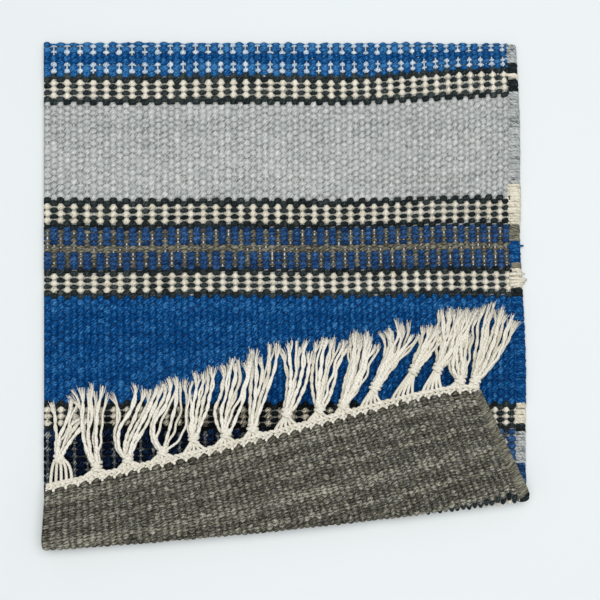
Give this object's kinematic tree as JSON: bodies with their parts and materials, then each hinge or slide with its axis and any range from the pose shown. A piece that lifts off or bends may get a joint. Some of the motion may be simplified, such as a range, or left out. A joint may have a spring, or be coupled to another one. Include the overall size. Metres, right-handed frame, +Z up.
{
  "type": "kilim",
  "caption": "Corner length of a striped flat-woven wool kilim, lying flat with one end turned over to show the plain end band, a twined edge and a knotted cotton fringe.",
  "frame": {"origin": "middle of the part's box, on the flat underside of the lower layer", "axes": "+X across the rug to its right selvedge, +Y along the warp away from the folded end, +Z up"},
  "size_m": [0.2436, 0.2554, 0.0118],
  "materials": {
    "wool_light_grey": "matte",
    "wool_blue": "matte",
    "wool_navy": "matte",
    "wool_cream": "matte",
    "wool_dark": "matte",
    "wool_taupe": "matte",
    "cotton_warp": "matte"
  },
  "bodies": {
    "root": {"kilim_cloth": "wool_light_grey", "fringe": "cotton_warp"}
  },
  "joints": []
}
